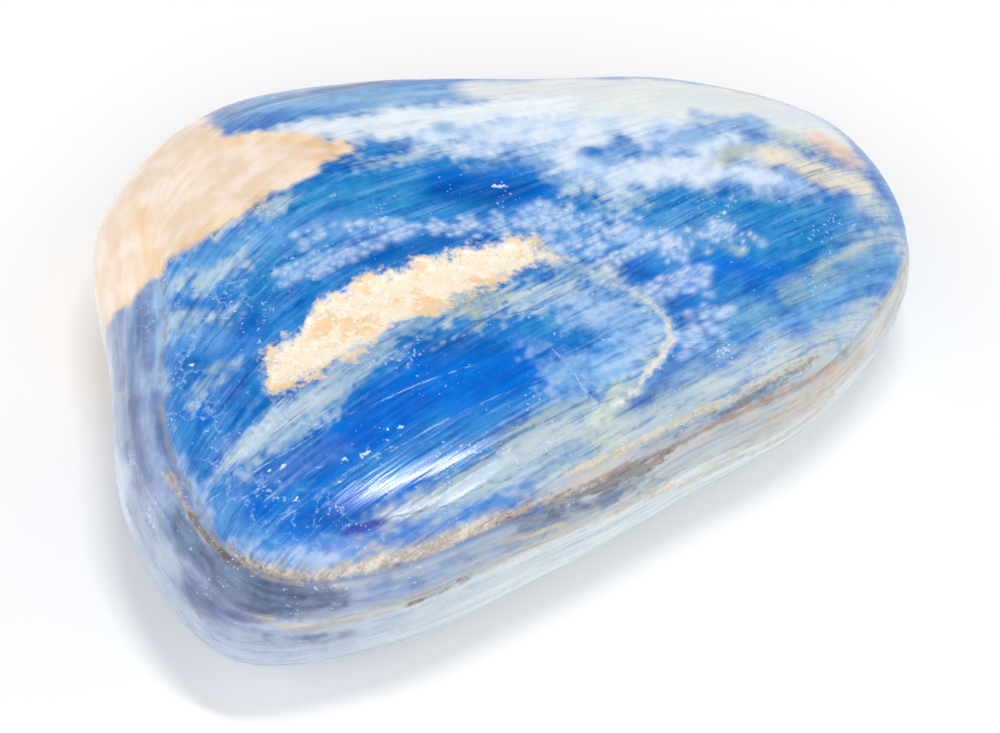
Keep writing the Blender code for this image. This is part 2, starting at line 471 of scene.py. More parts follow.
# %% Veils, haze and the pale rims
PALES = {
    "veil": (
        ((236, 462, 8), (270, 436, 14), (320, 398, 17), (364, 360, 16), (400, 336, 15)),
        ((400, 336, 15), (440, 316, 15), (500, 298, 16), (560, 290, 16)),
        ((170, 285, 5), (205, 279, 5), (240, 262, 4)),
        ((164, 322, 4), (185, 316, 5), (221, 314, 4)),
        ((191, 398, 5), (204, 382, 6), (230, 362, 4)),
        ((170, 245, 5), (220, 228, 7), (280, 204, 6)),
        ((575, 190, 12), (605, 192, 16), (640, 196, 8)),
        ((764, 314, 3), (772, 330, 6), (775, 344, 3)),
        ((556, 262, 9), (600, 276, 12), (636, 292, 10), (656, 314, 8)),
        ((656, 314, 8), (660, 336, 9), (650, 358, 8), (632, 378, 7), (610, 396, 6)),
        ((348, 158, 8), (400, 158, 10), (450, 152, 10)),
    ),
    "mist": (
        ((390, 517, 9), (450, 499, 17), (500, 480, 24), (560, 454, 30), (620, 432, 32)),
        ((620, 432, 32), (690, 402, 30), (760, 372, 26), (830, 340, 21), (880, 308, 16)),
        ((508, 442, 12), (545, 426, 18), (588, 412, 18)),
        ((662, 392, 8), (694, 370, 10), (727, 348, 9)),
        ((784, 291, 4), (843, 256, 6), (887, 228, 7)),
        ((520, 492, 14), (600, 460, 16), (680, 424, 16), (760, 388, 14), (835, 354, 12)),
    ),
    "pearl": (
        ((866, 200, 20), (886, 218, 14), (906, 250, 8)),
        ((845, 338, 16), (880, 318, 17), (906, 280, 9)),
    ),
    "putty": (
        ((228, 556, 5), (262, 568, 8), (300, 575, 11), (336, 573, 13), (383, 561, 15), (430, 547, 15)),
        ((430, 547, 15), (472, 530, 13), (500, 516, 10)),
        ((500, 516, 8), (560, 494, 12), (640, 458, 16), (720, 422, 18), (800, 384, 20), (856, 350, 18)),
        ((856, 350, 18), (888, 308, 12)),
    ),
    "blade_end": (
        ((575, 310, 18), (620, 318, 24), (645, 342, 22), (606, 374, 20)),
        ((540, 352, 10), (585, 388, 14)),
    ),
    # Haze, rim and cloud are partly painted reflection: the pale back of the top stands in part for the
    # bright surroundings mirrored at a grazing angle, and in part for the stone's milky colour.
    "haze": (
        ((410, 136, 16), (480, 130, 28), (540, 124, 34), (600, 122, 38), (665, 122, 28)),
        ((460, 146, 12), (530, 150, 15), (580, 164, 22), (615, 174, 26), (652, 172, 20)),
        ((680, 166, 20), (735, 172, 20), (800, 184, 14)),
        ((655, 136, 22), (710, 146, 20), (770, 152, 18)),
    ),
    "rim": (((480, 90, 24), (560, 92, 40), (640, 94, 44), (720, 100, 42), (790, 116, 36), (836, 138, 24)),),
    "cloud": (
        ((280, 131, 10), (350, 125, 18), (400, 121, 20), (452, 114, 20), (510, 108, 20), (560, 108, 16)),
        ((335, 136, 6), (380, 133, 7), (410, 129, 6)),
        ((583, 128, 10), (630, 124, 12)),
    ),
}
print(len(PALES), "pale colours")

# %% Stains, and the tints of the quartz corner
STAINS = {
    "olive": (
        ((786, 138, 8), (808, 148, 10), (826, 158, 6)),
        ((494, 300, 9), (466, 304, 9), (438, 314, 5)),
        ((500, 240, 6), (542, 246, 8)),
        ((730, 150, 8), (760, 156, 10)),
        ((605, 399, 8), (628, 389, 6)),
        ((650, 350, 7), (644, 362, 6)),
        ((600, 405, 5), (607, 424, 7), (602, 440, 5)),
    ),
    "lime": (((784, 292, 4), (789, 304, 5), (791, 311, 3)), ((728, 246, 3), (738, 250, 4))),
    "cream": (((770, 154, 10), (800, 166, 16), (830, 176, 18), (862, 184, 13)),),
    "peach": (((815, 138, 12), (850, 158, 18)),),
    "gold": (
        ((204, 129, 5), (206, 146, 5), (243, 141, 5), (274, 136, 5), (310, 140, 6), (346, 147, 6)),
        ((138, 205, 6), (139, 226, 10), (147, 250, 8), (150, 268, 5)),
        ((186, 243, 3), (223, 220, 3), (259, 197, 4), (284, 184, 4), (318, 161, 5), (345, 148, 6)),
        ((126, 298, 4), (144, 280, 5)),
    ),
}
print(len(STAINS), "stains")

# %% The left rim and the flank
FLANKS = {
    "lilac_rim": (
        ((147, 302, 5), (151, 340, 5), (154, 380, 6)),
        ((158, 390, 8), (164, 425, 9), (174, 455, 9), (188, 490, 8), (205, 518, 7), (228, 542, 7)),
        ((228, 542, 7), (262, 556, 6), (300, 561, 5), (345, 560, 5)),
    ),
    # Painted shade: a dark strip just under the upper ledge on the left, where its groove falls in shade,
    # laid over the flank's own darker blue-grey.
    "groove_shade": (
        ((139, 296, 5), (143, 330, 5), (147, 370, 5), (152, 396, 5), (159, 426, 6), (167, 455, 5)),
        ((167, 455, 5), (178, 486, 5), (194, 520, 4)),
    ),
    "lilac": (
        ((104, 340, 18), (108, 370, 30), (112, 430, 38), (118, 490, 34), (128, 545, 17), (148, 585, 6)),
    ),
    "flank_blue": (
        ((133, 320, 9), (128, 350, 9)),
        ((370, 596, 9), (400, 590, 11), (440, 572, 7)),
        ((440, 566, 4), (520, 540, 4)),
    ),
    "shell": (
        ((906, 262, 12), (893, 300, 16), (868, 345, 18), (830, 385, 16), (780, 425, 12), (715, 464, 8)),
    ),
    "steel": (
        ((220, 572, 18), (258, 594, 27), (296, 602, 25), (338, 602, 14)),
        ((190, 590, 14), (216, 606, 20), (250, 616, 12)),
        ((178, 524, 10), (203, 555, 15), (228, 578, 15)),
        ((525, 533, 4), (560, 516, 7), (600, 502, 7), (650, 484, 5), (692, 468, 4)),
        ((230, 624, 3), (256, 634, 4), (300, 638, 4), (345, 634, 3)),
    ),
    "mauve": (
        ((190, 596, 14), (218, 612, 12), (245, 622, 7)),
        ((132, 400, 5), (140, 440, 6), (150, 480, 6)),
    ),
}
print(len(FLANKS), "flank colours")

# %% Sprays of pale grains, and where the blade is cracked into crystals
GRAINS = {
    "spray_far": (
        ((290, 275, 5), (332, 258, 6), (352, 242, 6)),
        ((376, 236, 4), (420, 226, 4), (470, 226, 6)),
        ((500, 224, 9), (540, 218, 11), (582, 224, 13), (632, 234, 11)),
        ((520, 240, 7), (560, 238, 9), (600, 245, 9)),
        ((588, 254, 5), (624, 256, 6), (648, 245, 10), (676, 250, 9)),
        ((700, 232, 5), (724, 230, 4)),
        ((655, 290, 6), (690, 280, 9), (712, 290, 5)),
        ((694, 311, 4), (719, 313, 4)),
        ((690, 344, 5), (710, 326, 5)),
        ((740, 232, 4), (760, 238, 4)),
        ((300, 240, 4), (345, 224, 3)),
    ),
    "spray_near": (
        ((276, 290, 10), (262, 318, 11), (250, 350, 7), (240, 374, 6)),
        ((237, 378, 5), (256, 400, 5)),
        ((196, 396, 5), (206, 430, 5), (220, 468, 5)),
        ((170, 300, 6), (190, 330, 6)),
        ((330, 462, 6), (370, 450, 6)),
        ((260, 480, 6), (300, 500, 6)),
        ((342, 549, 5), (365, 542, 6), (376, 534, 4)),
        ((250, 572, 7), (300, 590, 8), (350, 588, 7)),
        ((164, 500, 7), (190, 548, 8)),
        ((420, 598, 6), (470, 574, 6)),
    ),
    "crystals": (
        ((172, 300, 16), (182, 350, 22), (196, 400, 24), (220, 450, 26), (250, 500, 28), (300, 530, 20)),
        ((300, 530, 20), (350, 540, 10)),
        ((230, 300, 16), (280, 260, 12)),
        ((270, 480, 14), (320, 500, 16)),
    ),
}
print(len(GRAINS), "kinds of grains")

# %% Narrow marks with sharp edges, drawn by the material
CRISP = {
    "ink": (((343, 534, 1), (358, 529, 4.4), (372, 525, 4.4), (390, 520, 1)),),
    "chips": (
        ((281, 468, 1.8), (285, 465, 1.8)),
        ((302, 477, 1), (304, 476, 1)),
        ((342, 460, 1.2), (345, 457, 1.2)),
        ((362, 456, 1.8), (368, 452, 1.8)),
        ((339, 482, 1.2), (341, 481, 1.2)),
        ((294, 501, 1.6), (297, 499, 1.6)),
        ((384, 431, 1.2), (388, 428, 1.2)),
        ((399, 428, 1), (402, 425, 1)),
        ((494, 186, 1.8), (504, 186, 1.8)),
        ((332, 195, 1.4), (334, 195, 1.4)),
        ((190, 365, 1.4), (193, 365, 1.4)),
        ((723, 212, 1.6), (726, 212, 1.6)),
        ((268, 470, 1.2), (270, 469, 1.2)),
    ),
    "scallop": (
        ((613, 283, 0.5), (632, 291, 1), (652, 304, 1.6), (667, 321, 3), (671, 338, 4.4)),
        ((671, 338, 4.4), (665, 354, 4.4), (655, 367, 3.6), (645, 375, 2)),
        ((642, 380, 1.6), (637, 389, 3), (628, 397, 3), (613, 404, 2.4), (600, 409, 1.4)),
    ),
    "flake": (
        ((230, 460, 3), (250, 440, 8), (270, 424, 11), (290, 408, 10), (312, 397, 6)),
        ((388, 518, 1.5), (420, 507, 4), (450, 494, 5), (478, 476, 5), (502, 457, 3)),
        ((487, 462, 3), (508, 450, 3)),
    ),
    "sand": (
        ((168, 474, 2.4), (181, 498, 2), (190, 515, 2), (208, 539, 2.4), (226, 554, 3), (243, 561, 4)),
        ((243, 561, 4), (265, 570, 5), (300, 577, 6), (336, 574, 7), (383, 562, 9), (430, 548, 8)),
        ((430, 548, 8), (472, 531, 8), (503, 518, 5), (545, 499, 2)),
    ),
    "beige": (
        ((482, 571, 2.4), (523, 552, 3.4), (553, 537, 4), (584, 524, 4), (615, 511, 4), (646, 497, 4)),
        ((646, 497, 4), (687, 482, 4), (730, 464, 4), (790, 434, 4), (840, 398, 4)),
        ((768, 424, 7), (800, 402, 9), (835, 381, 10), (862, 358, 8)),
        ((258, 619, 2), (284, 626, 3), (312, 627, 4), (348, 622, 3.6), (390, 608, 3.6)),
        ((390, 608, 3.6), (430, 594, 4), (470, 574, 4)),
        ((503, 546, 3), (516, 539, 3), (556, 527, 4), (569, 524, 3)),
    ),
    # Painted shade: dark grey lines along the lower edge of the ledges, where the blade above stands proud
    # of the layer below.
    "seam_shade": (
        ((190, 514, 0.5), (209, 541, 1), (228, 556, 0.8), (262, 573, 1.2), (292, 583, 1.4)),
        ((385, 569, 1.2), (400, 564, 1.2)),
        ((500, 524, 1), (526, 515, 2), (570, 498, 4), (605, 486, 6), (640, 470, 5), (668, 453, 3)),
        ((676, 433, 2), (717, 412, 4), (759, 392, 5), (791, 372, 4), (815, 359, 2)),
        ((412, 603, 1.8), (450, 586, 2.4), (468, 576, 1.6)),
    ),
    "rust": (
        ((500, 517, 1), (530, 508, 2), (560, 496, 2), (590, 484, 2), (618, 472, 4), (660, 453, 5)),
        ((660, 453, 5), (684, 442, 3)),
        ((696, 432, 3), (743, 410, 5), (790, 388, 6), (832, 366, 5)),
    ),
    "cream_line": (
        ((566, 474, 1), (600, 460, 1.6), (640, 442, 2), (676, 425, 3), (709, 410, 4), (742, 394, 4)),
        ((742, 394, 4), (770, 379, 4), (800, 362, 2), (836, 344, 1)),
    ),
}
print(len(CRISP), "crisp marks")

# %% How far inside its strokes each point lies
MARKS = {**BLUES, **PALES, **STAINS, **FLANKS, **GRAINS, **CRISP}
# Outside every stroke a field goes no lower than this distance in mm.
FAR_AWAY = 30.0


def stroke_field(strokes):
    """How far in mm each point lies inside the nearest stroke: negative outside them all."""
    world = points - (*MIDDLE, 0)
    field = np.full(len(world), -FAR_AWAY)
    for stroke in strokes:
        places = [np.array(spot(x, y)) for x, y, _ in stroke]
        widths = [half / PIXELS_PER_MM for _, _, half in stroke]
        for a, b, wide_a, wide_b in zip(places, places[1:], widths, widths[1:]):
            side = b - a
            along = np.clip((world - a) @ side / max(side @ side, 1e-9), 0, 1)
            away = np.linalg.norm(world - a - along[:, None] * side, axis=1)
            field = np.maximum(field, wide_a + (wide_b - wide_a) * along - away)
    return field


for name, strokes in MARKS.items():
    fields[name] = stroke_field(strokes)
print(len(MARKS), "fields from", sum(len(strokes) for strokes in MARKS.values()), "strokes")

# %% [markdown]
# ## Scratches and cracks
# A scratch is finer than the mesh, so a field of distances would lose it. Its distance keeps a
# sign instead, positive on one side and negative on the other. Such a field runs straight
# through the mesh's faces, and the material draws the scratch where it crosses zero.

# %% Where the scratches and cracks run
LINES = {
    "scratch": (
        ((335, 485), (364, 467), (394, 449), (420, 434), (460, 413), (502, 394), (540, 380)),
        ((226, 464), (269, 442), (307, 420), (338, 405)),
        ((336, 415), (312, 432)),
        ((266, 499), (292, 482), (318, 467)),
        ((322, 517), (338, 501), (355, 488)),
        ((374, 404), (420, 383), (470, 366)),
        ((376, 506), (397, 489)),
        ((240, 500), (262, 487)),
        ((280, 520), (320, 494), (350, 470), (392, 446)),
        ((210, 500), (250, 474), (300, 444), (350, 414)),
        ((170, 296), (220, 286), (262, 276)),
        ((165, 325), (205, 318), (240, 318)),
        ((553, 349), (564, 361), (576, 376), (584, 389), (597, 404)),
    ),
    "crack": (
        ((414, 504), (448, 479), (470, 467), (487, 457), (497, 450), (504, 443)),
        ((388, 518), (449, 506), (484, 486), (512, 478)),
        ((520, 470), (560, 446), (600, 432)),
        ((404, 352), (470, 322), (540, 308)),
    ),
}
# Beyond this distance in mm a line has no effect.
LINE_REACH = 0.3


def line_field(lines):
    """Distance in mm to the nearest line, first with a sign for its side, then without."""
    world = points - (*MIDDLE, 0)
    nearest = np.full(len(world), np.inf)
    signed = np.full(len(world), FAR_AWAY)
    for line in lines:
        places = [np.array(spot(x, y)) for x, y in line]
        for a, b in zip(places, places[1:]):
            side = b - a
            along = np.clip((world - a) @ side / (side @ side), 0, 1)
            offset = world - a - along[:, None] * side
            away = np.linalg.norm(offset, axis=1)
            turned = np.cross((0, 0, 1), side)
            signed = np.where(away < nearest, np.copysign(away, offset @ turned), signed)
            nearest = np.minimum(nearest, away)
    return signed, nearest


for name, lines in LINES.items():
    signed, nearest = line_field(lines)
    fields[name + "_side"] = np.clip(signed, -LINE_REACH, LINE_REACH)
    fields[name + "_reach"] = LINE_REACH - nearest
print(sum(len(lines) for lines in LINES.values()), "fine lines")

# %% [markdown]
# ## The fibres' direction
# Kyanite splits and streaks along its blades. A streak needs one number that stays the same
# along a fibre and changes across it. On the large blade the fibres run up to the right, fan
# out flatter towards the back, and bend down round the left end. On the small top blade they
# run straighter, and on the flank they run level with the seams.

# %% One number across the fibres
# Rise of a fibre for each mm to the right, how fast they fan out, where the bend at the left
# begins and how strong it is, and the slight bow of the small blade's fibres.
FIBRE_SLOPE = 0.66
FAN = 0.045
BEND_FROM = -5.0
BEND = 0.06
BOW = 0.012

x, y, z = points.T
offset = y - FIBRE_SLOPE * x
fanned = np.where(offset > 0, offset / (1 - FAN * x), offset)
fibre_large = fanned + BEND * np.maximum(BEND_FROM - x, 0) ** 2
fibre_small = offset + BOW * x**2
on_top = np.where(fields["top_blade"] > 0, fibre_small, fibre_large)
flank = fields["upper_seam"] > 0
fields["across"] = np.where(flank, fields["upper_seam"], on_top)
print("fibres cross", round(float(np.ptp(on_top)), 1), "mm of the top")

# %% [markdown]
# ## Noise on the mesh
# Clouds, crumbs and streaks are one smooth noise at several sizes. A streak is the same noise
# drawn out: its place changes slowly along a fibre and quickly across it.

# %% Smooth noise in three dimensions
CORNERS = [(a, b, c) for a in (0, 1) for b in (0, 1) for c in (0, 1)]
TABLE = 256
GRADIENTS = np.random.default_rng(11).normal(size=(TABLE, 3))
SHUFFLE = np.random.default_rng(12).permutation(TABLE)
# How far a noise spreads round 0, and how far apart its octaves are read.
NOISE_SPREAD = 0.3
OCTAVE_SHIFT = 31.7


def noise(place, octaves, seed):
    """Smooth noise round 0 at places in noise cells, each octave half as large and strong."""
    total = np.zeros(len(place))
    for octave in range(octaves):
        scaled = place * 2**octave + OCTAVE_SHIFT * (seed + octave)
        cell = np.floor(scaled).astype(int)
        inside = scaled - cell
        ease = inside**3 * (inside * (6 * inside - 15) + 10)
        for corner in CORNERS:
            key = (cell + corner) % TABLE
            row = SHUFFLE[(SHUFFLE[key[:, 0]] + key[:, 1]) % TABLE]
            slope = GRADIENTS[SHUFFLE[(row + key[:, 2]) % TABLE]]
            share = np.where(corner, ease, 1 - ease).prod(axis=1)
            total += share * ((inside - corner) * slope).sum(axis=1) / 2**octave
    return NOISE_SPREAD * total / total.std()


def drawn_out(along_per_mm, across_per_mm):
    """Noise places that change slowly along the fibres and quickly across them."""
    return np.column_stack([x * along_per_mm, y * along_per_mm, fields["across"] * across_per_mm])


print("the noise picks from", TABLE, "slopes")

# %% Clouds, crumbs and streaks
# Cells for each mm: of clouds, of crumbs, and of streaks along and across the fibres.
CLOUD_CELLS = 0.75
CRUMB_CELLS = 3.0
BROAD_STREAKS = (0.10, 0.8)
FINE_STREAKS = (0.30, 3.2)

clouds = [noise(points * CLOUD_CELLS, 5, seed) for seed in (1, 2, 3)]
crumbs = [noise(points * CRUMB_CELLS, 3, seed) for seed in (4, 5, 6)]
broad = [noise(drawn_out(*BROAD_STREAKS), 4, seed) for seed in (7, 8, 9)]
fine = [noise(drawn_out(*FINE_STREAKS), 2, seed) for seed in (10, 11, 12)]
streaks = 0.7 * broad[0] + 0.5 * fine[0]
print("noises:", len(clouds + crumbs + broad + fine))

# %% Dots of the far spray
# The far spray is soft round dots, scattered where its strokes lie. The mesh's points stand
# closer near the crown, so each counts by its distance from there.
DOTS = 520
DOT_RADII = (0.07, 0.2)
DOT_SEED = 21
draw = np.random.default_rng(DOT_SEED)
chance = soft_step(fields["spray_far"] + 0.4 * clouds[1], 0.5)
chance = chance * np.hypot(x - CROWN[0], y - CROWN[1])
near = np.flatnonzero(chance > 0)
centres = points[draw.choice(near, DOTS, p=chance[near] / chance[near].sum())]
dots = np.zeros(len(points))
for centre, radius in zip(centres, draw.uniform(*DOT_RADII, DOTS)):
    away = np.linalg.norm(points[near] - centre, axis=1)
    dots[near] = np.maximum(dots[near], np.exp(-((away / radius) ** 2)))
print(DOTS, "dots in the far spray")

# %% [markdown]
# ## The soft colours
# Broad colours with soft edges are painted on the mesh's points, which lie about 0.1 mm apart
# on top. Each layer varies between two colours, and lies over those before it.

# %% Soft layers, from the ground up
# Field, two colours, softness of the edge in mm, how far streaks, clouds and crumbs fray it in
# mm, and how strongly it covers.
SOFT_LAYERS = (
    ("azure", "#549ADA", "#82B6E6", 1.0, 0.6, 0.9, 0.3, 0.85),
    ("teal", "#0F7CC0", "#3694CC", 0.9, 0.6, 0.9, 0.3, 0.88),
    ("sea", "#3F88B8", "#6CA2C4", 0.8, 0.5, 0.6, 0.3, 0.8),
    ("royal", "#0060C8", "#0074DA", 0.8, 0.5, 0.6, 0.2, 1.0),
    ("deep", "#004C98", "#005FB8", 0.6, 0.4, 0.6, 0.3, 0.85),
    ("violet", "#4672C8", "#7092DA", 0.7, 0.6, 0.8, 0.3, 0.75),
    ("sky_band", "#70A6D6", "#98C0E0", 0.5, 0.4, 0.5, 0.0, 0.95),
    ("veil", "#93B4CE", "#CBD9DF", 0.45, 0.7, 0.4, 0.6, 0.88),
    ("mist", "#8EA6B4", "#BCC6C6", 0.6, 0.8, 0.4, 0.4, 0.94),
    ("putty", "#9C9EA0", "#BEBAB2", 0.45, 0.6, 0.4, 0.4, 0.8),
    ("pearl", "#A4BECA", "#C0CACC", 0.6, 0.4, 0.5, 0.2, 0.9),
    ("blade_end", "#6AA4DC", "#B0CCEA", 0.6, 0.6, 0.9, 0.5, 0.85),
    ("spray_far", "#84B2E6", "#B0CCF0", 0.5, 0.2, 0.6, 0.5, 0.3),
    # Haze, rim and cloud: partly the stone's milky colour, partly painted reflection of the bright
    # surroundings at the back.
    ("haze", "#BCD6F6", "#E4EFF8", 0.7, 0.3, 0.7, 0.2, 0.95),
    ("rim", "#DDE4E8", "#E8EAE4", 0.5, 0.2, 0.3, 0.0, 0.97),
    ("cloud", "#DCE8F2", "#EEF3F5", 0.4, 0.3, 0.5, 0.2, 0.95),
    ("far_blue", "#5C98D4", "#7FB0DE", 0.35, 0.4, 0.6, 0.0, 0.85),
    ("olive", "#B4BCA2", "#CAD2C0", 0.4, 0.3, 0.8, 0.5, 0.7),
    ("cream", "#E6D8BC", "#F0E6D0", 0.4, 0.1, 0.4, 0.1, 0.92),
    ("quartz", "#EAD2B8", "#F4E4D6", 0.2, 0.0, 0.4, 0.1, 1.0),
    ("peach", "#E4C2A4", "#EFD6C2", 0.45, 0.0, 0.4, 0.1, 0.85),
    ("gold", "#E8C08C", "#F2D6AC", 0.3, 0.1, 0.5, 0.3, 0.75),
    ("lilac_rim", "#86A8DC", "#A9BFE0", 0.3, 0.3, 0.6, 0.3, 0.8),
    # Painted shadow beside the small blade's scalloped end.
    ("scallop_shadow", "#1A5EAC", "#3A78BC", 0.25, 0.2, 0.3, 0.4, 0.88),
    ("lime", "#BCC8A0", "#CDD6B4", 0.2, 0.3, 0.3, 0.2, 0.55),
    ("lilac", "#BECAE6", "#DCE2F2", 0.7, 0.0, 0.4, 0.1, 0.9),
    ("flank_blue", "#5E7CAA", "#829AC0", 0.4, 0.6, 0.6, 0.3, 0.85),
    ("shell", "#B4AA9C", "#CEC6BA", 0.5, 0.4, 0.5, 0.3, 0.75),
    ("steel", "#24385E", "#647694", 0.5, 0.4, 0.6, 0.5, 0.95),
    ("mauve", "#646E94", "#8488AC", 0.6, 0.2, 0.6, 0.3, 0.8),
    # Painted shade in the groove under the upper ledge, over the flank's own darker blue-grey.
    ("groove_shade", "#54699A", "#6E82B0", 0.25, 0.1, 0.3, 0.2, 0.85),
)
print(len(SOFT_LAYERS), "soft layers to come")


# %% Colours from their hex codes
def colour(hex_code):
    """An sRGB hex colour as linear values."""
    parts = [int(hex_code[i : i + 2], 16) / 255 for i in (1, 3, 5)]
    return (*[c / 12.92 if c <= 0.04045 else ((c + 0.055) / 1.055) ** 2.4 for c in parts], 1.0)


def between(first, second, share):
    """Each point's own share of the way from one hex colour to another."""
    first = np.array(colour(first))
    return first + share[:, None] * (np.array(colour(second)) - first)


print("#0060C8 in linear values:", [round(part, 3) for part in colour("#0060C8")])

# %% The bare blade and the flank
# Colours of the bare blade, then of the flank below each seam: two at the left, and two at the
# right. Last, where along the stone the left turns to the right: its middle and half-length.
BLADE = ("#0A6ABC", "#2E86CE")
FLANK = ("#7C90B8", "#A0B0D0", "#9CA4AC", "#B6BCBE")
BELLY = ("#94A4BE", "#B0BCCE", "#BECACE", "#D2D9D8")
TURN_GREY = (-4.0, 8.0)
# Two blends say where a colour turns from its first tint to its second: one mottled, and one
# streaky. The number before each noise is how much it counts.
mottle = soft_step(0.7 * clouds[1] + 0.5 * fine[1] + 0.3 * crumbs[1], 0.5)
streaky = soft_step(0.7 * broad[1] + 0.7 * fine[2], 0.5)
ground = between(*BLADE, soft_step(clouds[2] + 0.7 * broad[2], 0.6))
greyness = soft_step(x - TURN_GREY[0], TURN_GREY[1])[:, None]
for seam, tints in (("upper_seam", FLANK), ("lower_seam", BELLY)):
    left = between(tints[0], tints[1], mottle)
    right = between(tints[2], tints[3], streaky)
    below = soft_step(fields[seam] - 0.1, 0.2)[:, None]
    ground += below * (left + greyness * (right - left) - ground)
# At the back, which the photograph doesn't show, blue comes through the flank in patches.
BACK_FROM = 3.0
patches = soft_step(clouds[0] + 0.6 * broad[0] - 0.08, 0.3) * soft_step(y - BACK_FROM, 4.0)
patches = 0.75 * (patches * flank)[:, None]
ground += patches * (between("#5C88C4", "#80A6D4", streaky) - ground)
print("bare blade and flank painted")

# %% The layers over them
DOT_COVER = 0.75
FLANK_SILK = 0.5
painted = {}
for number, (name, dark, light, soft, by_streaks, by_clouds, by_crumbs, cover) in enumerate(SOFT_LAYERS):
    turn = number % 3
    frayed = fields[name] + by_streaks * streaks + by_clouds * clouds[turn] + by_crumbs * crumbs[turn]
    painted[name] = cover * soft_step(frayed, soft)
    tint = between(dark, light, streaky if by_streaks > by_clouds else mottle)
    ground += painted[name][:, None] * (tint - ground)
ground += DOT_COVER * dots[:, None] * (between("#AECBF2", "#DDE8F8", streaky) - ground)
# The silk of fine fibres shows less where the blade is clear and deep, where haze or quartz
# covers it, and on the flank.
clear = 1 - 0.8 * np.maximum(painted["royal"], painted["deep"])
milky = [painted[name] for name in ("haze", "rim", "cloud", "sky_band", "spray_far")]
milky = 0.8 * np.maximum.reduce(milky)
silk = clear * (1 - milky) * (1 - painted["quartz"])
fields["silk"] = silk * np.where(flank, FLANK_SILK, 1.0)
print(len(SOFT_LAYERS), "soft layers painted")

# %% Write what the material reads onto the mesh
MATERIAL_READS = (
    ("pocket", "upper_seam", "lower_seam", "across", "silk", "spray_near", "crystals", "chips", "ink")
    + ("scallop", "flake", "sand", "beige", "seam_shade", "rust", "cream_line")
    + ("scratch_side", "scratch_reach", "crack_side", "crack_reach", "cloud_noise")
)
fields["cloud_noise"] = clouds[0]
for name in MATERIAL_READS:
    layer = stone_mesh.attributes.new(name, "FLOAT", "POINT")
    layer.data.foreach_set("value", fields[name].astype(np.float32))
layer = stone_mesh.attributes.new("ground_colour", "FLOAT_COLOR", "POINT")
layer.data.foreach_set("color", ground.astype(np.float32).ravel())
print(len(stone_mesh.attributes), "attributes on the mesh")

# %% [markdown]
# ## A helper for nodes
# The relief, the material and the light tent are node trees. One function adds a node to any of
# them. Its inputs are given in order, or by name or number, and each is either a value or the
# output of another node.

# %% A node
def add(tree, kind, inputs=(), out=0, **settings):
    """Adds one node with its settings, fills or links its inputs, and returns one output."""
    new = tree.nodes.new(kind)
    for name, value in settings.items():
        setattr(new, name, value)
    given = inputs.items() if isinstance(inputs, dict) else enumerate(inputs)
    for name, value in given:
        if isinstance(value, bpy.types.NodeSocket):
            tree.links.new(value, new.inputs[name])
        else:
            new.inputs[name].default_value = value
    return new.outputs[out]


print("add:", add.__doc__)

# %% [markdown]
# ## Worn relief
# Tumbling rounds a stone but leaves its grain: low ripples along the fibres, and crumbly
# grains in the soft pocket. Both follow the surface by a rule, so a Geometry Nodes tree makes
# them. It only sinks points along their normals, so the stone never leaves the solid's box, and
# it leaves the flat base alone.

# %% How deep and how fine the relief is
RELIEF = {
    "Ripple Depth": 0.03 * MM,
    "Ripples per mm Across": 0.9,
    "Ripples per mm Along": 0.12,
    "Grain Depth": 0.11 * MM,
    "Grains per mm": 1.9,
    "Base Height": 0.05 * MM,
}
STEP = {"interpolation_type": "SMOOTHSTEP"}
print(len(RELIEF), "inputs of the relief")


